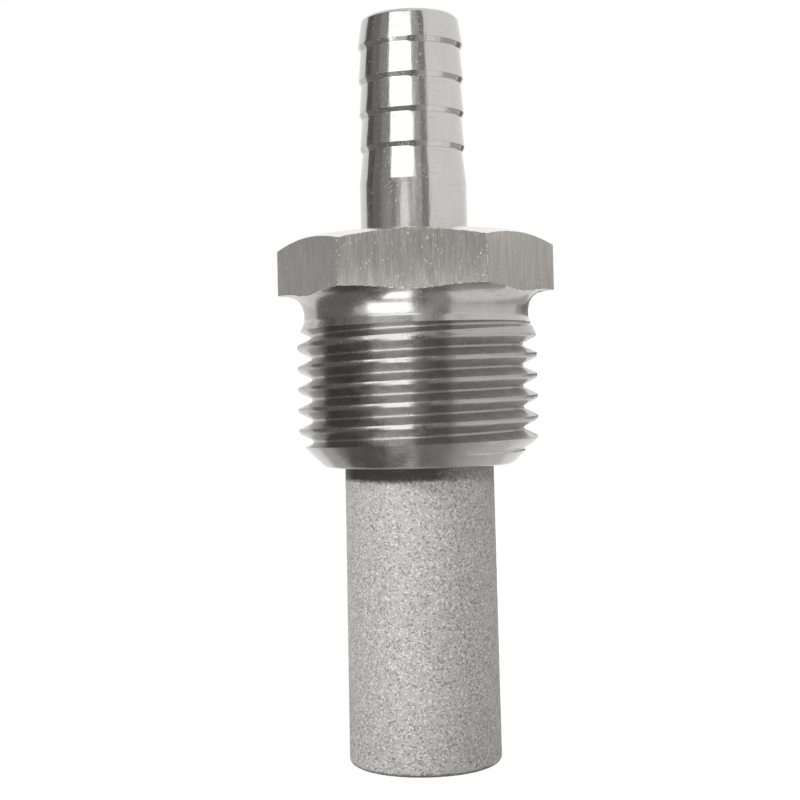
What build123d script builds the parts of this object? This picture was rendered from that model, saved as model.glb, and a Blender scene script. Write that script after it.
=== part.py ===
"""Carbonation stone: a turned stainless hose fitting with a sintered porous cup in its lower end.

It stands on the closed end of the cup. The origin is the middle of that end, +Z runs up the
common axis to the tip of the hose barb, and two corners of the hexagon point along +X and -X.
"""

import math
import os

from build123d import *

# Porous cup. It is pressed from powder in a die, so its outside has a little draft.
cup_exposed = 25.9
cup_low_diameter = 13.38
cup_seat_diameter = 13.06
cup_edge_chamfer = 0.35
cup_cavity_diameter = 8.0
cup_floor = 3.0

# Seat in the fitting that the open end of the cup is held in.
seat_depth = 4.5
seat_clearance = 0.02

# Threaded stem, from its end face up to the hexagon.
stem_length = 15.1
end_face_diameter = 16.4
lead_angle = 45.0
neck_diameter = 19.6
neck_length = 2.4
neck_fillet = 1.7
neck_blend_steps = 3
shoulder_length = 1.6

# Male pipe thread, right hand, 14 turns to the inch, with 55 degree flanks.
thread_diameter = 20.955
thread_pitch = 25.4 / 14
thread_depth = 1.45
thread_angle = 55.0
full_thread_length = 11.29
runout_turns = 0.6
runout_rise = 0.85

# Hexagon for the spanner, left from the bar, with its top corners turned back.
hex_across_flats = 21.0
hex_height = 4.7
hex_top_diameter = 20.0
hex_chamfer_angle = 20.0

# Hose barb: a plain shank, then rings whose cones widen away from the tip.
barb_length = 19.3
shank_diameter = 9.35
shank_length = 4.85
ring_count = 4
ring_pitch = 2.97
ring_diameter = 9.17
ring_root_diameter = 8.73
ring_back = 0.45
first_ring_from_tip = 2.45
tip_diameter = 8.53
tip_chamfer = 0.26

# Gas bore through the barb, down to the seat.
gas_bore_diameter = 6.0
bore_mouth_chamfer = 0.3

# How far a cutting tool starts outside the metal, so that no two faces coincide.
cutter_proud = 0.05
cutter_side = 0.3

# Heights that follow from the sizes above.
stem_bottom = cup_exposed
seat_top = stem_bottom + seat_depth
hex_bottom = stem_bottom + stem_length
hex_top = hex_bottom + hex_height
hex_middle = hex_bottom + hex_height / 2
shank_top = hex_top + shank_length
tip = hex_top + barb_length


def revolved(outline):
    """Turns a closed outline of (radius, height) points about the axis."""
    edges = Polyline(*[(radius, 0, height) for radius, height in outline], close=True)
    return revolve(make_face(edges.edges()), Axis.Z)


def round_hole(diameter, low, high):
    """A drill's path from one height to another."""
    return Pos(0, 0, low) * Cylinder(
        diameter / 2, high - low, align=(Align.CENTER, Align.CENTER, Align.MIN)
    )


def stem():
    """The threaded stem before its thread is cut: lead chamfer, crests, shoulder and neck."""
    crest = thread_diameter / 2
    end_face = end_face_diameter / 2
    neck = neck_diameter / 2
    lead = (crest - end_face) / math.tan(math.radians(lead_angle))
    neck_bottom = hex_bottom - neck_length
    return revolved(
        [
            (0, stem_bottom),
            (end_face, stem_bottom),
            (crest, stem_bottom + lead),
            (crest, neck_bottom - shoulder_length),
            (neck, neck_bottom),
            (neck, hex_middle),
            (0, hex_middle),
        ]
    )


def thread_groove():
    """The V between the crests, from below the end face to where it runs out on the neck.

    The path is one edge for each turn, then a widening cone that lifts the tool out of the metal.
    """
    root = thread_diameter / 2 - thread_depth
    outside = thread_diameter / 2 + cutter_proud
    half_outside = (outside - root) * math.tan(math.radians(thread_angle / 2))
    full_top = stem_bottom + full_thread_length
    turns = math.ceil((full_thread_length + half_outside) / thread_pitch)
    start = full_top - turns * thread_pitch
    section = Polyline(
        (root, 0, start),
        (outside, 0, start - half_outside),
        (outside + cutter_side, 0, start - half_outside),
        (outside + cutter_side, 0, start + half_outside),
        (outside, 0, start + half_outside),
        close=True,
    )
    path = []
    for turn in range(turns):
        foot = (0, 0, start + turn * thread_pitch)
        path.append(Edge.make_helix(thread_pitch, thread_pitch, root, center=foot))
    runout_height = runout_turns * thread_pitch
    slope = math.atan(runout_rise / runout_height)
    slant_pitch = thread_pitch / math.cos(slope)
    foot = (0, 0, full_top)
    cone = math.degrees(slope)
    path.append(Edge.make_helix(slant_pitch, runout_height, root, center=foot, angle=cone))
    groove = sweep(make_face(section.edges()), path=Wire(path), is_frenet=True)
    return Rot(0, 0, 180) * groove


def hexagon():
    """The spanner hexagon: its corners turned back above, and blended into the neck below.

    The blend is wider than the flats, so it leaves a shallow arc in each flat's lower edge.
    """
    across = hex_across_flats / 2
    corner = across / math.cos(math.radians(30)) + cutter_proud
    drop = (corner - hex_top_diameter / 2) * math.tan(math.radians(hex_chamfer_angle))
    blend_centre = neck_diameter / 2 + neck_fillet
    blend_bottom = hex_bottom - neck_fillet
    outline = [(0, hex_top), (0, blend_bottom)]
    for step in range(neck_blend_steps + 1):
        turn = math.pi / 2 * step / neck_blend_steps
        radius = blend_centre - neck_fillet * math.cos(turn)
        outline.append((radius, blend_bottom + neck_fillet * math.sin(turn)))
    outline += [(corner, hex_bottom), (corner, hex_top - drop), (hex_top_diameter / 2, hex_top)]
    flats = RegularPolygon(across, 6, major_radius=False)
    bar = extrude(Pos(0, 0, blend_bottom) * flats, hex_height + neck_fillet)
    return bar & revolved(outline)


def barb():
    """The hose barb, from inside the hexagon to the tip."""
    shank = shank_diameter / 2
    peak = ring_diameter / 2
    valley = ring_root_diameter / 2
    outline = [(0, hex_middle), (shank, hex_middle), (shank, shank_top)]
    for ring in reversed(range(ring_count)):
        height = tip - first_ring_from_tip - ring * ring_pitch
        outline += [(valley, height - ring_back), (peak, height)]
    outline += [
        (tip_diameter / 2, tip - tip_chamfer),
        (tip_diameter / 2 - tip_chamfer, tip),
        (0, tip),
    ]
    return revolved(outline)


def passages():
    """What is bored out of the fitting: the seat for the cup, the gas bore and its mouth."""
    bore = gas_bore_diameter / 2
    seat = cup_seat_diameter / 2 + seat_clearance
    return revolved(
        [
            (0, stem_bottom - cutter_side),
            (seat, stem_bottom - cutter_side),
            (seat, seat_top),
            (bore, seat_top),
            (bore, tip - bore_mouth_chamfer),
            (bore + bore_mouth_chamfer, tip),
            (bore + bore_mouth_chamfer, tip + cutter_side),
            (0, tip + cutter_side),
        ]
    )


def fitting_body():
    """The whole fitting, as turned and threaded from one length of hexagon bar."""
    threaded = stem() - thread_groove()
    return threaded + hexagon() + barb() - passages()


def porous_stone():
    """The porous cup, closed and flat below, with its open end in the seat."""
    low = cup_low_diameter / 2
    seat = cup_seat_diameter / 2
    outside = revolved([(0, 0), (low, 0), (seat, stem_bottom), (seat, seat_top), (0, seat_top)])
    rim = outside.edges().filter_by(GeomType.CIRCLE).sort_by(Axis.Z)[0]
    outside = chamfer(rim, cup_edge_chamfer)
    return outside - round_hole(cup_cavity_diameter, cup_floor, seat_top + cutter_side)


os.makedirs("parts", exist_ok=True)
export_step(fitting_body(), "parts/fitting_body.step")
export_step(porous_stone(), "parts/porous_stone.step")
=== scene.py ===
# %% [markdown]
# # A carbonation stone, dressed for its picture
#
# The object is a stainless hose fitting with a porous metal cup in its lower end. Gas comes down the
# hose barb and leaves through the wall of the cup as fine bubbles. The solids come from the packed
# model, which this script loads as a fixed frame. It then models both pieces again with the small
# roundings, the rounded thread and the grain that a camera sees, and gives them their finishes.
# Every length here is in metres, so sizes are written in millimetres times `MM`.

# %% Load the frame
import math

import bmesh
import bpy
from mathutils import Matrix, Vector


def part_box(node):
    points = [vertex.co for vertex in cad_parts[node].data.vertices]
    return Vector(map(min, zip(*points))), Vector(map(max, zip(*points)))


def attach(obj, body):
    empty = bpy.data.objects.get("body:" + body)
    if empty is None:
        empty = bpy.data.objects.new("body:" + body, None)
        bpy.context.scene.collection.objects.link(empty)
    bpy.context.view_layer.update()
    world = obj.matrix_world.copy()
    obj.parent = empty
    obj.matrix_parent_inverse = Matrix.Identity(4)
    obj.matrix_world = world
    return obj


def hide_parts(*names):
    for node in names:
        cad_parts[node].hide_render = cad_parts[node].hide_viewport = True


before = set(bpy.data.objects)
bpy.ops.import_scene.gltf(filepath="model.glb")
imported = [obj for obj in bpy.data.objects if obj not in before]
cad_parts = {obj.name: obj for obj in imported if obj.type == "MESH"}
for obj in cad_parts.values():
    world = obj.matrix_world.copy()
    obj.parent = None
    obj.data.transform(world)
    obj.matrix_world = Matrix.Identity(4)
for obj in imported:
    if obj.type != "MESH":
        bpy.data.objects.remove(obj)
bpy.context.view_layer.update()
MM = 0.001

# %% [markdown]
# ## The camera
#
# The picture seems to be taken from about 130 mm away, level with the thread. That close, the hexagon's
# top edge bends up and the cup's lower edge bends down. A camera further away would flatten both, so the
# distance is set first and the lens then follows from the size of the object in the frame. The object
# leans a little to the left there, so the camera is rolled and not the object.

# %% Place the camera
CAMERA_DISTANCE = 130 * MM
CAMERA_HEIGHT = 31.64 * MM
CAMERA_SIDESTEP = -1.58 * MM
CAMERA_AZIMUTH = math.radians(1.9)
CAMERA_ROLL = math.radians(1.29)
LENS = 66.6
across = (math.cos(CAMERA_AZIMUTH), math.sin(CAMERA_AZIMUTH))
backwards = (math.sin(CAMERA_AZIMUTH), -math.cos(CAMERA_AZIMUTH))
bpy.ops.object.select_all(action="DESELECT")
bpy.ops.object.camera_add(
    location=(
        backwards[0] * CAMERA_DISTANCE + across[0] * CAMERA_SIDESTEP,
        backwards[1] * CAMERA_DISTANCE + across[1] * CAMERA_SIDESTEP,
        CAMERA_HEIGHT,
    ),
    rotation=(math.pi / 2, CAMERA_ROLL, CAMERA_AZIMUTH),
)
camera = bpy.context.object
camera.data.lens = LENS
camera.data.sensor_width = 36
camera.data.clip_start = 5 * MM
bpy.context.scene.camera = camera
bpy.context.scene.view_settings.view_transform = "Standard"
print("camera at", [round(c / MM, 1) for c in camera.location], "mm")

# %% [markdown]
# ## Sizes
#
# Both pieces are turned about the same axis, so each is known by one outline of radius and height.
# The heights where the solids begin and end are read from the frame. The sizes in between are the
# ones that the solids were made with. They were scaled from the picture, or guessed where it shows
# nothing, as in the bore.

# %% Read the frame's heights and name the sizes
body_low, body_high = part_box("fitting_body")
cup_low, cup_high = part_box("porous_stone")

STEM_BOTTOM = body_low.z
TIP = body_high.z
ACROSS_FLATS = body_high.y - body_low.y
CORNER_RADIUS = body_high.x

SEAT_TOP = cup_high.z
SEAT_RADIUS = 6.57 * MM
BORE_RADIUS = 3.0 * MM

END_FACE_RADIUS = 8.2 * MM
CREST_RADIUS = 10.4775 * MM
NECK_RADIUS = 9.8 * MM
NECK_BLEND = 1.7 * MM
NECK_LENGTH = 2.4 * MM
SHOULDER_LENGTH = 1.6 * MM

STEM_LENGTH = 15.1 * MM
HEX_HEIGHT = 4.7 * MM
HEX_BOTTOM = STEM_BOTTOM + STEM_LENGTH
HEX_TOP = HEX_BOTTOM + HEX_HEIGHT
HEX_TOP_RADIUS = 10.0 * MM
HEX_CHAMFER = math.radians(20)

SHANK_RADIUS = 4.675 * MM
SHANK_LENGTH = 4.85 * MM
SHANK_TOP = HEX_TOP + SHANK_LENGTH
RING_COUNT = 4
RING_PITCH = 2.97 * MM
RING_RADIUS = 4.585 * MM
RING_ROOT_RADIUS = 4.365 * MM
RING_BACK = 0.45 * MM
FIRST_RING_FROM_TIP = 2.45 * MM
TIP_RADIUS = 4.265 * MM
TIP_CHAMFER = 0.26 * MM
MOUTH_CHAMFER = 0.3 * MM
print("fitting from", round(STEM_BOTTOM / MM, 2), "to", round(TIP / MM, 2), "mm")

# %% [markdown]
# ## Turning an outline
#
# A lathe makes a round piece by moving a tool along an outline while the bar turns. Blender's spin
# does the same with a line of edges. The line is drawn by hand, as it were: a plane is merged to one
# vertex, the vertex is moved to the first point, and each extrude takes it on to the next. No real
# corner is perfectly sharp, so `rounded` swaps each corner for a short arc first.

# %% Helpers for outlines
TURN_STEPS = 240
SEAM_GAP = 0.002 * MM


def rounded(corners, arc_steps=4):
    """Turns (radius, height, rounding) corners into outline points, with an arc at each rounding."""
    points = []
    count = len(corners)
    for index, (radius, height, rounding) in enumerate(corners):
        before = corners[index - 1]
        after = corners[(index + 1) % count]
        if rounding == 0:
            points.append((radius, height))
            continue
        back = math.atan2(before[1] - height, before[0] - radius)
        ahead = math.atan2(after[1] - height, after[0] - radius)
        opening = (ahead - back + math.pi) % math.tau - math.pi
        middle = back + opening / 2
        half = abs(opening) / 2
        reach = rounding / math.sin(half)
        centre = (radius + reach * math.cos(middle), height + reach * math.sin(middle))
        sweep = math.pi - abs(opening)
        side = math.copysign(1, opening)
        for step in range(arc_steps + 1):
            turn = middle + math.pi + side * sweep * (0.5 - step / arc_steps)
            points.append((centre[0] + rounding * math.cos(turn), centre[1] + rounding * math.sin(turn)))
    return points


def drawn_line(name, points):
    """Draws a line of edges in the XZ plane by extruding one vertex from point to point."""
    bpy.ops.object.select_all(action="DESELECT")
    bpy.ops.mesh.primitive_plane_add(size=MM)
    piece = bpy.context.object
    piece.name = name
    bpy.ops.object.mode_set(mode="EDIT")
    bpy.ops.mesh.select_mode(type="VERT")
    bpy.ops.mesh.select_all(action="SELECT")
    bpy.ops.mesh.merge(type="CENTER")
    bpy.ops.transform.translate(value=(points[0][0], 0, points[0][1]))
    for (radius, height), (next_radius, next_height) in zip(points, points[1:]):
        stride = (next_radius - radius, 0, next_height - height)
        bpy.ops.mesh.extrude_region_move(TRANSFORM_OT_translate={"value": stride})
    bpy.ops.object.mode_set(mode="OBJECT")
    return piece


def spin_once(steps):
    """Spins the active line once about the Z axis, closes the seam and turns the faces outwards."""
    bpy.ops.object.mode_set(mode="EDIT")
    bpy.ops.mesh.select_all(action="SELECT")
    bpy.ops.mesh.spin(steps=steps, angle=math.tau, center=(0, 0, 0), axis=(0, 0, 1))
    bpy.ops.mesh.select_all(action="SELECT")
    bpy.ops.mesh.remove_doubles(threshold=SEAM_GAP)
    bpy.ops.mesh.normals_make_consistent(inside=False)
    bpy.ops.object.mode_set(mode="OBJECT")


# %% [markdown]
# ## The fitting, as the lathe leaves it
#
# The outline starts in the cup's seat, goes round the outside and comes back down the bore, so one spin
# closes it into a solid. Where the hexagon will be there is a round collar that is a little too wide.

# %% Turn the fitting
COLLAR_RADIUS = CORNER_RADIUS + 0.3 * MM
hex_drop = (COLLAR_RADIUS - HEX_TOP_RADIUS) * math.tan(HEX_CHAMFER)
lead_top = STEM_BOTTOM + CREST_RADIUS - END_FACE_RADIUS
neck_bottom = HEX_BOTTOM - NECK_LENGTH
corners = [
    (SEAT_RADIUS, SEAT_TOP, 0.1 * MM),
    (SEAT_RADIUS, STEM_BOTTOM, 0.15 * MM),
    (END_FACE_RADIUS, STEM_BOTTOM, 0.8 * MM),
    (CREST_RADIUS, lead_top, 0.6 * MM),
    (CREST_RADIUS, neck_bottom - SHOULDER_LENGTH, 0.4 * MM),
    (NECK_RADIUS, neck_bottom, 0.6 * MM),
    (NECK_RADIUS, HEX_BOTTOM, NECK_BLEND),
    (COLLAR_RADIUS, HEX_BOTTOM, 0),
    (COLLAR_RADIUS, HEX_TOP - hex_drop, 0),
    (HEX_TOP_RADIUS, HEX_TOP, 0.3 * MM),
    (SHANK_RADIUS, HEX_TOP, 0.15 * MM),
    (SHANK_RADIUS, SHANK_TOP, 0.3 * MM),
]
for ring in reversed(range(RING_COUNT)):
    peak = TIP - FIRST_RING_FROM_TIP - ring * RING_PITCH
    corners.append((RING_ROOT_RADIUS, peak - RING_BACK, 0.2 * MM))
    corners.append((RING_RADIUS, peak, 0.1 * MM))
corners += [
    (TIP_RADIUS, TIP - TIP_CHAMFER, 0.12 * MM),
    (TIP_RADIUS - TIP_CHAMFER, TIP, 0.08 * MM),
    (BORE_RADIUS + MOUTH_CHAMFER, TIP, 0.06 * MM),
    (BORE_RADIUS, TIP - MOUTH_CHAMFER, 0.06 * MM),
    (BORE_RADIUS, SEAT_TOP, 0.05 * MM),
]
outline = rounded(corners)
outline.append(outline[0])
fitting = drawn_line("fitting", outline)
spin_once(TURN_STEPS)
print("turned fitting:", len(outline), "outline points,", len(fitting.data.polygons), "faces")

# %% [markdown]
# ## The hexagon
#
# On the real fitting the hexagon is what is left of the bar, and the lathe has only turned its corners
# back. So the turned collar is cut down by a hexagonal bar, and the curved edges of the flats come by
# themselves, as they do on the machine.

# %% Helpers for cutting and for choosing edges
def pick(piece):
    """Makes a piece the active object and the only selected one."""
    bpy.ops.object.select_all(action="DESELECT")
    piece.select_set(True)
    bpy.context.view_layer.objects.active = piece


def cut(piece, tool, operation):
    """Cuts a piece with a tool and throws the tool away."""
    pick(piece)
    boolean = piece.modifiers.new("cut", "BOOLEAN")
    boolean.operation = operation
    boolean.solver = "MANIFOLD"
    boolean.object = tool
    bpy.ops.object.modifier_apply(modifier=boolean.name)
    bpy.data.objects.remove(tool)


def select_edges(piece, chosen):
    """Selects the edges for which chosen(edge) is true, stays in edit mode and returns their number."""
    pick(piece)
    bpy.ops.object.mode_set(mode="EDIT")
    bpy.ops.mesh.select_mode(type="EDGE")
    mesh = bmesh.from_edit_mesh(piece.data)
    for edge in mesh.edges:
        edge.select_set(chosen(edge))
    mesh.select_flush(False)
    bmesh.update_edit_mesh(piece.data)
    return sum(edge.select for edge in mesh.edges)


# %% Cut the flats
FLAT_EDGE = 0.11 * MM
SHARP = math.radians(28)
HALF_SIDE = math.radians(30)
bpy.ops.object.select_all(action="DESELECT")
bpy.ops.mesh.primitive_cylinder_add(
    vertices=6,
    radius=ACROSS_FLATS / 2 / math.cos(HALF_SIDE),
    depth=TIP * 1.5,
    location=(0, 0, TIP / 2),
    rotation=(0, 0, HALF_SIDE),
)
bar = bpy.context.object
bpy.ops.object.transform_apply(location=True, rotation=True, scale=True)
cut(fitting, bar, "INTERSECT")


def is_hexagon_edge(edge):
    """True for a sharp edge at the height of the collar and as far out as the flats."""
    middle = (edge.verts[0].co + edge.verts[1].co) / 2
    outside = middle.xy.length > ACROSS_FLATS / 2 - 0.05 * MM
    at_collar = middle.z > HEX_BOTTOM - NECK_BLEND
    return outside and at_collar and len(edge.link_faces) == 2 and edge.calc_face_angle() > SHARP


found = select_edges(fitting, is_hexagon_edge)
bpy.ops.mesh.bevel(offset=FLAT_EDGE, segments=2, affect="EDGES", clamp_overlap=True)
bpy.ops.object.mode_set(mode="OBJECT")
print("with flats:", len(fitting.data.polygons), "faces;", found, "sharp edges broken")

# %% [markdown]
# ## The thread
#
# A thread is one V-shaped groove wound along the stem. A stack of rings would look right from the
# front, but its lines wouldn't climb, and its profile would match on both sides. The Screw modifier
# winds the section of the tool into a helix. The section isn't symmetric: it rounds the lower corner
# of each crest much more than the upper one, which gives the crests their soft bright lines. It also
# reaches a little way over the crests, so that both roundings have room.

# %% Wind the thread tool
THREAD_PITCH = 25.4 * MM / 14
THREAD_HALF_ANGLE = math.radians(26.5)
CREST_LAND = 0.34 * MM
ROOT_ROUNDING = 0.2 * MM
CREST_UPPER_ROUNDING = 0.05 * MM
CREST_LOWER_ROUNDING = 0.45 * MM
FULL_THREAD_LENGTH = 11.29 * MM
RUNOUT_TURNS = 0.6
RUNOUT_RISE = 0.85 * MM
PROUD = 0.03 * MM
STAND_OFF = 0.005 * MM
LOWER_CORNER_REACH = 0.29 * MM
UPPER_CORNER_REACH = 0.035 * MM
FULL_TURNS = 7

half_width = (THREAD_PITCH - CREST_LAND) / 2
sharp_depth = half_width / math.tan(THREAD_HALF_ANGLE)
groove_start = STEM_BOTTOM + FULL_THREAD_LENGTH - FULL_TURNS * THREAD_PITCH
section = rounded(
    [
        (CREST_RADIUS - sharp_depth, groove_start, ROOT_ROUNDING),
        (CREST_RADIUS, groove_start + half_width, CREST_LOWER_ROUNDING),
        (CREST_RADIUS + STAND_OFF, groove_start + half_width + LOWER_CORNER_REACH, 0),
        (CREST_RADIUS + PROUD, groove_start + half_width + LOWER_CORNER_REACH, 0),
        (CREST_RADIUS + PROUD, groove_start - half_width - UPPER_CORNER_REACH, 0),
        (CREST_RADIUS, groove_start - half_width, CREST_UPPER_ROUNDING),
    ],
    6,
)
tool = drawn_line("thread_tool", section)
bpy.ops.object.mode_set(mode="EDIT")
bpy.ops.mesh.select_all(action="SELECT")
bpy.ops.mesh.edge_face_add()
bpy.ops.mesh.select_all(action="SELECT")
bpy.ops.transform.rotate(
    value=math.pi, orient_axis="Z", orient_type="GLOBAL", center_override=(0, 0, 0)
)
bpy.ops.mesh.delete(type="ONLY_FACE")
bpy.ops.object.mode_set(mode="OBJECT")
all_turns = FULL_TURNS + RUNOUT_TURNS
wind = tool.modifiers.new("wind", "SCREW")
wind.axis = "Z"
wind.angle = all_turns * math.tau
wind.screw_offset = all_turns * THREAD_PITCH
wind.steps = round(all_turns * TURN_STEPS)
wind.render_steps = wind.steps
wind.use_merge_vertices = False
bpy.ops.object.modifier_apply(modifier=wind.name)
print("thread tool:", len(tool.data.vertices), "vertices,", len(section), "in its section")

# %% [markdown]
# ## Where the thread runs out
#
# At its end the groove gets shallower until it is gone, because the tool is drawn out of the metal. So
# the last part of the helix is moved away from the axis. After the cut the surface is shaded smooth.
# A long face next to a small rounding would take on some of the rounding's tilt and show a false
# gradient, so the Weighted Normal modifier lets the large faces count most.

# %% Draw the tool out of the metal and cut
for vertex in tool.data.vertices:
    turn = vertex.index // len(section) / TURN_STEPS
    rise = RUNOUT_RISE * max(0, turn - FULL_TURNS) / RUNOUT_TURNS
    stretch = 1 + rise / vertex.co.xy.length
    vertex.co.xy *= stretch
bpy.ops.object.mode_set(mode="EDIT")
bpy.ops.mesh.select_all(action="SELECT")
bpy.ops.mesh.fill_holes(sides=0)
bpy.ops.mesh.select_all(action="SELECT")
bpy.ops.mesh.normals_make_consistent(inside=False)
bpy.ops.object.mode_set(mode="OBJECT")
cut(fitting, tool, "DIFFERENCE")
bpy.ops.object.shade_smooth_by_angle(angle=SHARP)
weigh = fitting.modifiers.new("weigh", "WEIGHTED_NORMAL")
weigh.keep_sharp = True
bpy.ops.object.modifier_apply(modifier=weigh.name)
print("with thread:", len(fitting.data.polygons), "faces")

# %% [markdown]
# ## The porous cup
#
# Steel powder is pressed in a die and baked until its grains join. The outside keeps the grains, each
# about a seventh of a millimetre across, so the wall is divided that finely and pushed inwards by a
# noise of that size. A bump alone would leave the edge of the cup as smooth as glass.

# %% Turn the cup
CUP_STEPS = 300
CUP_LOW_RADIUS = cup_high.x
CUP_SEAT_RADIUS = 6.53 * MM
CUP_EDGE = 0.45 * MM
CUP_CAVITY_RADIUS = 4.0 * MM
CUP_FLOOR = 3.0 * MM
GRAIN = 0.14 * MM
SKIN_STEP = 0.14 * MM
SKIN_DEPTH = 0.05 * MM
cup_corners = [
    (0, 0, 0),
    (CUP_LOW_RADIUS, 0, CUP_EDGE),
    (CUP_SEAT_RADIUS, STEM_BOTTOM, 0),
    (CUP_SEAT_RADIUS, SEAT_TOP, 0),
    (CUP_CAVITY_RADIUS, SEAT_TOP, 0),
    (CUP_CAVITY_RADIUS, CUP_FLOOR, 0.3 * MM),
    (0, CUP_FLOOR, 0),
]
stone = drawn_line("stone", rounded(cup_corners))


def is_outside(radius, height):
    """True for a point on the cup's wall or foot, and not in its cavity."""
    return radius > CUP_CAVITY_RADIUS + 1.5 * MM or height < 0.5 * CUP_FLOOR


def is_skin_edge(edge):
    """True for the long edges of the cup's outside, below the part in the seat."""
    middle = (edge.verts[0].co + edge.verts[1].co) / 2
    below_seat = middle.z < STEM_BOTTOM + 1 * MM
    return is_outside(middle.x, middle.z) and below_seat and edge.calc_length() > 1 * MM


def divide_skin(chosen, length):
    """Divides the chosen edges of the cup's outline, of about this length, into steps of SKIN_STEP."""
    select_edges(stone, chosen)
    bpy.ops.mesh.subdivide(number_cuts=round(length / SKIN_STEP))
    bpy.ops.object.mode_set(mode="OBJECT")


divide_skin(lambda edge: is_skin_edge(edge) and edge.calc_length() > 10 * MM, STEM_BOTTOM)
divide_skin(is_skin_edge, CUP_LOW_RADIUS)
spin_once(CUP_STEPS)

# %% Roughen its skin
skin = stone.vertex_groups.new(name="skin")
in_skin = []
for vertex in stone.data.vertices:
    if is_outside(vertex.co.xy.length, vertex.co.z) and vertex.co.z < STEM_BOTTOM:
        in_skin.append(vertex.index)
skin.add(in_skin, 1, "REPLACE")
powder = bpy.data.textures.new("powder", "CLOUDS")
powder.noise_scale = GRAIN
powder.noise_depth = 1
roughen = stone.modifiers.new("roughen", "DISPLACE")
roughen.texture = powder
roughen.texture_coords = "LOCAL"
roughen.vertex_group = skin.name
roughen.strength = SKIN_DEPTH
roughen.mid_level = 1
bpy.ops.object.modifier_apply(modifier=roughen.name)
bpy.ops.object.shade_smooth()
print("cup:", len(stone.data.vertices), "vertices,", len(in_skin), "of them in its skin")

# %% [markdown]
# ## Shader maths as Python
#
# A finish is a network of nodes. Adding each sum and product as a node by hand hides what is worked
# out, so `Wire` lets node outputs be added, subtracted or multiplied like numbers. Every other node
# comes from one method, `Finish.node`.

# %% Helpers for finishes
class Wire:
    """An output of a node. Sums and products of wires and numbers add Math nodes."""

    def __init__(self, finish, socket):
        self.finish = finish
        self.socket = socket

    def maths(self, operation, *terms):
        return self.finish.node("ShaderNodeMath", {"operation": operation}, dict(enumerate(terms)))

    def __add__(self, other):
        return self.maths("ADD", self, other)

    def __sub__(self, other):
        return self.maths("SUBTRACT", self, other)

    def __rsub__(self, other):
        return self.maths("SUBTRACT", other, self)

    def __mul__(self, other):
        return self.maths("MULTIPLY", self, other)

    __radd__ = __add__
    __rmul__ = __mul__


class Finish:
    """A material's node tree, and one method that adds any node to it."""

    def __init__(self, owner):
        owner.use_nodes = True
        self.tree = owner.node_tree
        self.tree.nodes.clear()

    def node(self, kind, settings=None, inputs=None, output=0):
        """Adds a node, sets its settings, then its sockets, and returns one of its outputs."""
        node = self.tree.nodes.new(kind)
        for name, value in (settings or {}).items():
            setattr(node, name, value)
        for name, value in (inputs or {}).items():
            if isinstance(value, Wire):
                self.tree.links.new(value.socket, node.inputs[name])
            else:
                node.inputs[name].default_value = value
        return Wire(self, node.outputs[output]) if node.outputs else None

    def place(self):
        """The Object coordinates of the point, which are the same from every side."""
        return self.node("ShaderNodeTexCoord", output="Object")

    def noise(self, size, detail=2, stretch=(1, 1, 1)):
        """Smooth noise about 0.5, with features of the given size, drawn out by a stretch."""
        scale = [1 / (size * s) for s in stretch]
        moved = self.node("ShaderNodeMapping", None, {"Vector": self.place(), "Scale": scale})
        return self.node("ShaderNodeTexNoise", None, {"Vector": moved, "Scale": 1, "Detail": detail})

    def ramp(self, value, low, high):
        """0 below low, 1 above high, and smooth in between. With its ends swapped it falls instead."""
        settings = {"interpolation_type": "SMOOTHSTEP"}
        return self.node("ShaderNodeMapRange", settings, {"Value": value, "From Min": low, "From Max": high})

    def blend(self, factor, first, second):
        """A colour between two colours. The Mix node's colour sockets are known by their place."""
        inputs = {0: factor, 6: first, 7: second}
        return self.node("ShaderNodeMix", {"data_type": "RGBA"}, inputs, 2)

    def shown_rays(self):
        """1 for the rays that show a backdrop: the camera's, reflected ones and those through glass."""
        rays = self.node("ShaderNodeLightPath", output="Is Camera Ray")
        rays = rays + self.node("ShaderNodeLightPath", output="Is Glossy Ray")
        return rays + self.node("ShaderNodeLightPath", output="Is Transmission Ray")

    def steel(self, inputs):
        """Adds the metal shader with these inputs and joins it to the output."""
        shader = self.node("ShaderNodeBsdfPrincipled", None, inputs)
        self.node("ShaderNodeOutputMaterial", None, {"Surface": shader})


def tint(red, green, blue):
    """A colour as the shader takes it, with its alpha."""
    return (red, green, blue, 1)


# %% [markdown]
# ## Turned stainless steel
#
# The tool leaves fine rings round the barb, the neck and the thread. They scatter light up and down
# much more than from side to side, which is why the dark and white bands on the barb have crisp
# edges. A noise squashed flat gives the rings, and the shader's anisotropy spreads the highlights
# along the axis. Shallow waves make those edges waver a little, and grit gives small bright points.
# The barb is the smoothest, the thread the roughest, and the top of the hexagon the palest.

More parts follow.
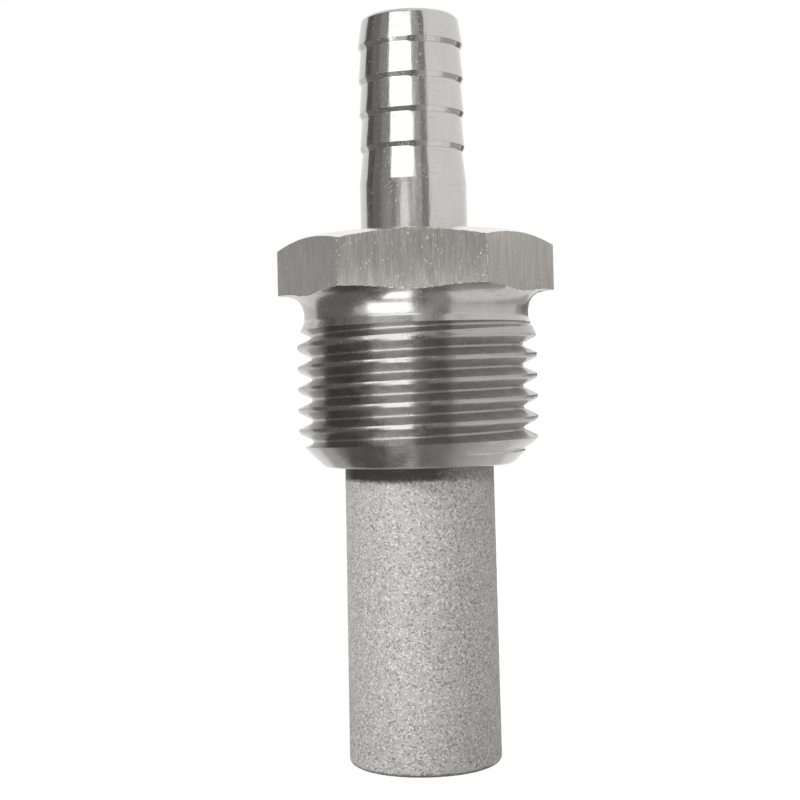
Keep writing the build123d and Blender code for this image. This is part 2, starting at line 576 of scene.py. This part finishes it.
# %% Turned steel
def turned_finish(name, polish, spread, tone, marks, ring_depth, grit_depth, wave_depth):
    """Steel from the lathe. Polish is its roughness, and spread how far highlights run along the axis.

    Marks is how much its scratches darken it. The depths are those of its rings, grit and waves.
    """
    material = bpy.data.materials.new(name)
    finish = Finish(material)
    rings = finish.noise(0.07 * MM, 3, (60, 60, 1))
    dashes = finish.noise(0.06 * MM, 2, (25, 25, 1))
    smears = finish.noise(1.2 * MM, 3, (1, 1, 2.5))
    grit = finish.ramp(finish.noise(0.13 * MM, 2), 0.64, 0.76)
    waves = finish.noise(0.45 * MM, 3, (1, 1, 7))
    relief = ring_depth * rings + grit_depth * grit + wave_depth * waves
    bumps = finish.node("ShaderNodeBump", None, {"Height": relief, "Strength": 1, "Distance": 1})
    scratch = finish.ramp(dashes, 0.62, 0.75)
    dark, pale, scratched = (tint(t, t * 0.98, t * 0.945) for t in (tone - 0.05, tone + 0.05, tone * 0.55))
    finish.steel(
        {
            "Base Color": finish.blend(scratch * marks, finish.blend(smears, dark, pale), scratched),
            "Metallic": 1,
            "Roughness": polish + 0.3 * polish * finish.ramp(smears, 0.35, 0.7) + 0.1 * scratch,
            "Anisotropic": spread,
            "Anisotropic Rotation": 0.25,
            "Normal": bumps,
        }
    )
    return material


barb_steel = turned_finish(
    "barb_steel",
    polish=0.125,
    spread=0.1,
    tone=0.56,
    marks=0.35,
    ring_depth=0.0008 * MM,
    grit_depth=0.010 * MM,
    wave_depth=0.014 * MM,
)
neck_steel = turned_finish(
    "neck_steel",
    polish=0.21,
    spread=0.7,
    tone=0.48,
    marks=0.7,
    ring_depth=0.0015 * MM,
    grit_depth=0.006 * MM,
    wave_depth=0.004 * MM,
)
thread_steel = turned_finish(
    "thread_steel",
    polish=0.25,
    spread=0.9,
    tone=0.42,
    marks=0.7,
    ring_depth=0.0020 * MM,
    grit_depth=0.008 * MM,
    wave_depth=0,
)
chamfer_steel = turned_finish(
    "chamfer_steel",
    polish=0.2,
    spread=0.3,
    tone=0.84,
    marks=0.3,
    ring_depth=0.0015 * MM,
    grit_depth=0.006 * MM,
    wave_depth=0.004 * MM,
)
print("turned finishes:", barb_steel.name, neck_steel.name, thread_steel.name, chamfer_steel.name)

# %% [markdown]
# ## Brushed flats
#
# The flats of the hexagon keep the drawn surface of the bar: duller, with fine streaks along the bar
# and small bright nicks. Two noises drawn out along the bar make the streaks.

# %% Brushed flats
brushed_flats = bpy.data.materials.new("brushed_flats")
finish = Finish(brushed_flats)
fine_streaks = finish.noise(0.10 * MM, 3, (1, 1, 25))
broad_streaks = finish.noise(0.4 * MM, 2, (1, 1, 9))
streaks = 0.55 * fine_streaks + 0.45 * broad_streaks
nicks = finish.ramp(finish.noise(0.17 * MM, 2), 0.685, 0.72)
bumps = finish.node(
    "ShaderNodeBump", None, {"Height": streaks + 0.5 * nicks, "Strength": 1, "Distance": 0.008 * MM}
)
brushed = finish.blend(finish.ramp(streaks, 0.34, 0.66), tint(0.405, 0.388, 0.363), tint(0.53, 0.504, 0.473))
finish.steel(
    {
        "Base Color": finish.blend(nicks, brushed, tint(1.0, 0.97, 0.92)),
        "Metallic": 1,
        "Roughness": 0.24 + 0.06 * streaks,
        "Anisotropic": 1.0,
        "Normal": bumps,
    }
)
print("flats:", len(finish.tree.nodes), "nodes")

# %% [markdown]
# ## Worn edges
#
# The edges of the hexagon get knocked. They show as a broken line of bright nicks on darker steel,
# which is a noise through a steep ramp.

# %% Worn edges
worn_edges = bpy.data.materials.new("worn_edges")
finish = Finish(worn_edges)
nicks = finish.ramp(finish.noise(0.22 * MM, 2), 0.46, 0.56)
bumps = finish.node("ShaderNodeBump", None, {"Height": nicks, "Strength": 1, "Distance": 0.02 * MM})
finish.steel(
    {
        "Base Color": finish.blend(nicks, tint(0.20, 0.19, 0.18), tint(0.92, 0.89, 0.85)),
        "Metallic": 1,
        "Roughness": 0.42,
        "Normal": bumps,
    }
)
print("worn edges:", len(finish.tree.nodes), "nodes")

# %% [markdown]
# ## Sintered steel
#
# Each grain of the cup has its own tone and tilt, with dark pores between. The palest grains are painted
# glints.

# %% Sintered steel
GRAIN_CELL = 0.13 * MM
sintered_steel = bpy.data.materials.new("sintered_steel")
finish = Finish(sintered_steel)
grains = finish.node(
    "ShaderNodeTexVoronoi", {"feature": "F1"}, {"Vector": finish.place(), "Scale": 1 / GRAIN_CELL}, "Color"
)
grain_tone = finish.node("ShaderNodeSeparateColor", None, {"Color": grains}, "Red")
relief = finish.noise(0.10 * MM, 3)
bumps = finish.node(
    "ShaderNodeBump", None, {"Height": relief + 0.5 * grain_tone, "Strength": 1, "Distance": 0.05 * MM}
)
powder = finish.blend(finish.ramp(relief, 0.3, 0.7), tint(0.32, 0.312, 0.297), tint(0.45, 0.439, 0.418))
with_pores = finish.blend(finish.ramp(grain_tone, 0.16, 0.12), powder, tint(0.225, 0.218, 0.208))
# Painted glints: some grains are coloured paler, standing in for grains that catch the light.
with_painted_glints = finish.blend(finish.ramp(grain_tone, 0.84, 0.88), with_pores, tint(0.56, 0.547, 0.525))

# %% [markdown]
# ## Painted shade at the ends of the cup
#
# The cup is dark close under the fitting, most of all from its middle to its left, and has a thin dark
# line round its foot. On the real one that is shade, but the lamps here leave it too pale. So that shade
# is painted into the cup's colour, by height and by X, with a noise that keeps its edge from being ruled.

# %% Painted shade at the ends of the cup
PAINTED_SHADE_TOP = STEM_BOTTOM - 0.65 * MM
PAINTED_SHADE_BOTTOM = STEM_BOTTOM - 1.15 * MM
FOOT_SHADE_TOP = 0.62 * MM
FOOT_SHADE_BOTTOM = 0.4 * MM
height = finish.node("ShaderNodeSeparateXYZ", None, {"Vector": finish.place()}, "Z")
sideways = finish.node("ShaderNodeSeparateXYZ", None, {"Vector": finish.place()}, "X")
painted_shade_edge = height + 0.4 * MM * finish.noise(0.7 * MM, 3)
painted_shade_side = (1 - 0.9 * finish.ramp(sideways, 0.8 * MM, 4.5 * MM)) * (
    0.45 + 0.55 * finish.ramp(sideways, -6.5 * MM, -5.4 * MM)
)
# Painted shade: a band under the fitting, deepest from the middle to the left, and a thin painted shade line
# round the foot.
painted_shade = painted_shade_side * finish.ramp(painted_shade_edge, PAINTED_SHADE_BOTTOM, PAINTED_SHADE_TOP)
painted_shade = painted_shade + 0.75 * finish.ramp(painted_shade_edge, FOOT_SHADE_TOP, FOOT_SHADE_BOTTOM)
# Painted shade: where it lies, the cup's colour is taken nearly to black and made rougher.
finish.steel(
    {
        "Base Color": finish.blend(painted_shade * 0.85, with_painted_glints, tint(0.045, 0.043, 0.04)),
        "Metallic": 0.4,
        "Roughness": 0.6 + 0.2 * painted_shade,
        "Normal": bumps,
    }
)
print("sintered steel:", len(finish.tree.nodes), "nodes")

# %% [markdown]
# ## A finish for each face
#
# The fitting is one piece with six finishes. Each face gets its finish by its height, by how far out
# it lies across the flats, or, in the bore, by how near it is to the axis. A face on a flat also
# points straight out from it.

# %% Give each face its finish
BARB, NECK, THREAD, FLAT, WORN, CHAMFER = range(6)
FINISH_MARGIN = 0.5 * MM
EDGE_BAND = 0.1 * MM
fitting.data.materials.clear()
for material in (barb_steel, neck_steel, thread_steel, brushed_flats, worn_edges, chamfer_steel):
    fitting.data.materials.append(material)
flat_turns = [math.radians(30 + 60 * side) for side in range(6)]
flat_normals = [(math.cos(turn), math.sin(turn)) for turn in flat_turns]
flat_faces = 0
edge_faces = 0
for face in fitting.data.polygons:
    across_flats, tilt = max(
        (face.center.x * x + face.center.y * y, face.normal.x * x + face.normal.y * y)
        for x, y in flat_normals
    )
    if face.center.xy.length < BORE_RADIUS + 0.05 * MM:
        face.material_index = THREAD
    elif face.center.z > HEX_TOP:
        face.material_index = BARB
    elif face.center.z > HEX_BOTTOM + FINISH_MARGIN:
        face.material_index = CHAMFER
    elif face.center.z > neck_bottom - FINISH_MARGIN or face.center.z < lead_top - 0.1 * MM:
        face.material_index = NECK
    else:
        face.material_index = THREAD
    at_collar = HEX_BOTTOM - NECK_BLEND < face.center.z < HEX_TOP
    if at_collar and across_flats > ACROSS_FLATS / 2 - EDGE_BAND:
        on_flat = tilt > 0.999 and across_flats > ACROSS_FLATS / 2 - 0.005 * MM
        face.material_index = FLAT if on_flat else WORN
        flat_faces += on_flat
        edge_faces += not on_flat
stone.data.materials.append(sintered_steel)
print("faces on the flats:", flat_faces, "and on their edges:", edge_faces)

# %% [markdown]
# ## Joining the pieces to the frame
#
# Nothing moves on this object, so both pieces ride on the root. Each replaces one node of the frame.

# %% Join both pieces to the frame
for piece, node, slot in (
    (fitting, "fitting_body", "turned_steel"),
    (stone, "porous_stone", "sintered_steel"),
):
    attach(piece, "root")
    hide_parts(node)
    print(piece.name, "replaces", node)

# %% [markdown]
# ## Room and floor
#
# The room and the floor are white to the camera and in reflections, where a strength of 1 is white.
# Matt surfaces get less light from the room, so that the shade under the fitting stays dark. The floor
# keeps a share of matt paper in its white, which is what shows the object's shadow.

# %% White room and floor
world = bpy.data.worlds.new("white_room")
bpy.context.scene.world = world
finish = Finish(world)
ROOM_LIGHT = 0.45
seen = finish.shown_rays()
room = finish.node(
    "ShaderNodeBackground", None, {"Color": tint(1, 1, 1), "Strength": ROOM_LIGHT + (1 - ROOM_LIGHT) * seen}
)
finish.node("ShaderNodeOutputWorld", None, {"Surface": room})

bpy.ops.object.select_all(action="DESELECT")
bpy.ops.mesh.primitive_circle_add(vertices=64, radius=2, fill_type="NGON")
floor = bpy.context.object
floor.name = "floor"
paper = bpy.data.materials.new("white_paper")
finish = Finish(paper)
SHADOW_SHARE = 0.3
PAPER_TONE = 0.25
PAPER_GLOW = 1.33
seen = finish.shown_rays()
matt = finish.node("ShaderNodeBsdfDiffuse", None, {"Color": tint(PAPER_TONE, PAPER_TONE, PAPER_TONE)})
glow = finish.node("ShaderNodeEmission", None, {"Color": tint(1, 1, 1), "Strength": PAPER_GLOW})
mixed = finish.node("ShaderNodeMixShader", None, {0: seen * (1 - SHADOW_SHARE), 1: matt, 2: glow})
finish.node("ShaderNodeOutputMaterial", None, {"Surface": mixed})
floor.data.materials.append(paper)
print("floor", round(floor.dimensions.x, 1), "m wide")

# %% [markdown]
# ## Cards and mats
#
# Bright metal shows what stands round it. A photographer sets white and dark cards, so that each
# curve gets a bright band and a dark band. A card is a bent sheet hung round the object, given by the
# directions between which it stands, in degrees from the camera and positive to the right. Its rises
# are angles above `LIT_HEIGHT`, near the hexagon's top. A mat lies just over the floor, and faces that
# slope down show it. The camera doesn't see cards or mats: only reflections do, and matt surfaces
# where a card says so.

# %% Helpers for cards and mats
CARD_DISTANCE = 350 * MM
NEARER = CARD_DISTANCE - 20 * MM
LIT_HEIGHT = 45 * MM
MAT_HEIGHT = 0.2 * MM
LIGHT_MAT_HEIGHT = 0.4 * MM


def card(name, sides, rises, brightness, distance=CARD_DISTANCE, matt_sees_it=True):
    """A bent card between two directions and two rises, in degrees, that glows as told."""
    low, high = (LIT_HEIGHT + distance * math.tan(math.radians(rise)) for rise in rises)
    swept(drawn_line(name, [(distance, low), (distance, high)]), sides, brightness, matt_sees_it)


def mat(name, sides, near, far, brightness, height=MAT_HEIGHT):
    """A flat card over the floor, between two directions and two distances from the axis."""
    swept(drawn_line(name, [(near, height), (far, height)]), sides, brightness, False)


def swept(piece, sides, brightness, matt_sees_it):
    """Sweeps a line round the object between two directions and makes it a card."""
    start, end = (math.radians(side) for side in sides)
    bpy.ops.object.mode_set(mode="EDIT")
    bpy.ops.mesh.select_all(action="SELECT")
    # With no window, spin turns the other way, so the angle is given with its sign turned.
    bpy.ops.mesh.spin(steps=16, angle=start - end, center=(0, 0, 0), axis=(0, 0, 1))
    bpy.ops.object.mode_set(mode="OBJECT")
    piece.rotation_euler.z = CAMERA_AZIMUTH - math.pi / 2 + start
    piece.visible_camera = False
    piece.visible_shadow = False
    piece.visible_diffuse = matt_sees_it
    material = bpy.data.materials.new(piece.name)
    board = Finish(material)
    glow = board.node("ShaderNodeEmission", None, {"Color": tint(1, 1, 1), "Strength": brightness})
    board.node("ShaderNodeOutputMaterial", None, {"Surface": glow})
    piece.data.materials.append(material)


# %% Hang the cards and lay the mats
card("dark_card_left", (-121, -4), (-7, 75), 0.22)
card("upper_light", (-50, 1), (15, 38), 2.3, NEARER)
card("lower_light", (-50, -4), (-7, 2.5), 4.0, NEARER, matt_sees_it=False)
card("lower_light_side", (-64, -50), (-7, 2.6), 1.3, NEARER, matt_sees_it=False)
card("dark_card_low", (-121, -64), (-7, 4), 0.2, NEARER)
card("darker_card_left", (-121, -98), (7.2, 60), 0.12, NEARER)
card("grey_card_left", (-74, -50), (4, 60), 0.34, NEARER)
card("shank_light", (-38, -5), (7.0, 8.9), 0.7, NEARER, matt_sees_it=False)
card("shank_light_middle", (-29, -10), (7.0, 8.9), 2.2, NEARER - 10 * MM, matt_sees_it=False)
card("grey_card", (-4, 18), (-7, 60), 0.52)
card("grey_card_middle", (-4, 5), (8, 60), 0.85, NEARER)
card("dark_card_right", (18, 33), (-7, 60), 0.29)
card("white_card", (33, 121), (5, 60), 1.0)
card("pale_card_right", (33, 121), (-7, 5), 0.92)
card("grey_card_right", (80, 150), (4.3, 6.3), 0.7, NEARER, matt_sees_it=False)
card("dark_card_back", (121, 178), (-6, 4.2), 0.22, matt_sees_it=False)
card("pale_card_left", (-178, -121), (-7, 3), 0.8, matt_sees_it=False)
mat("dark_mat", (-121, 12), 24 * MM, 345 * MM, 0.2)
mat("grey_mat_front", (12, 36), 26 * MM, 345 * MM, 0.4)
mat("near_mat", (-125, 20), 7 * MM, 26 * MM, 0.12)
mat("near_mat_right", (20, 60), 7 * MM, 26 * MM, 0.25)
mat("near_mat_far_right", (60, 100), 7 * MM, 26 * MM, 0.55)
mat("pale_mat_right", (100, 150), 7 * MM, 40 * MM, 0.75)
mat("pale_mat_left", (-178, -125), 7 * MM, 50 * MM, 0.6)
mat("light_mat_near", (-16, -5), 14 * MM, 20 * MM, 2.4, LIGHT_MAT_HEIGHT)
mat("light_mat_middle", (-35, -6), 20 * MM, 62 * MM, 3.0, LIGHT_MAT_HEIGHT)
mat("light_mat_far", (-50, -5), 106 * MM, 345 * MM, 3.0, LIGHT_MAT_HEIGHT)
mat("grey_mat_right", (36, 150), 130 * MM, 345 * MM, 0.5)

# %% [markdown]
# ## Lamps
#
# Two soft lamps light what is matt: the cup and the floor. The stronger one stands at the left, so the
# cup is paler there. Neither shows in the metal, which has the cards for that.

# %% Lamps
LAMP_RISE = math.radians(34)
LAMP_SPREAD = math.radians(8)


def lamp(name, side, energy):
    """A soft lamp far away, at a direction from the camera, that bright metal doesn't show."""
    bpy.ops.object.select_all(action="DESELECT")
    turn = (math.pi / 2 - LAMP_RISE, 0, CAMERA_AZIMUTH + math.radians(side))
    bpy.ops.object.light_add(type="SUN", rotation=turn)
    added = bpy.context.object
    added.name = name
    added.data.energy = energy
    added.data.angle = LAMP_SPREAD
    added.visible_glossy = False


lamp("key_lamp", -58, 4.4)
lamp("second_lamp", 12, 1.6)
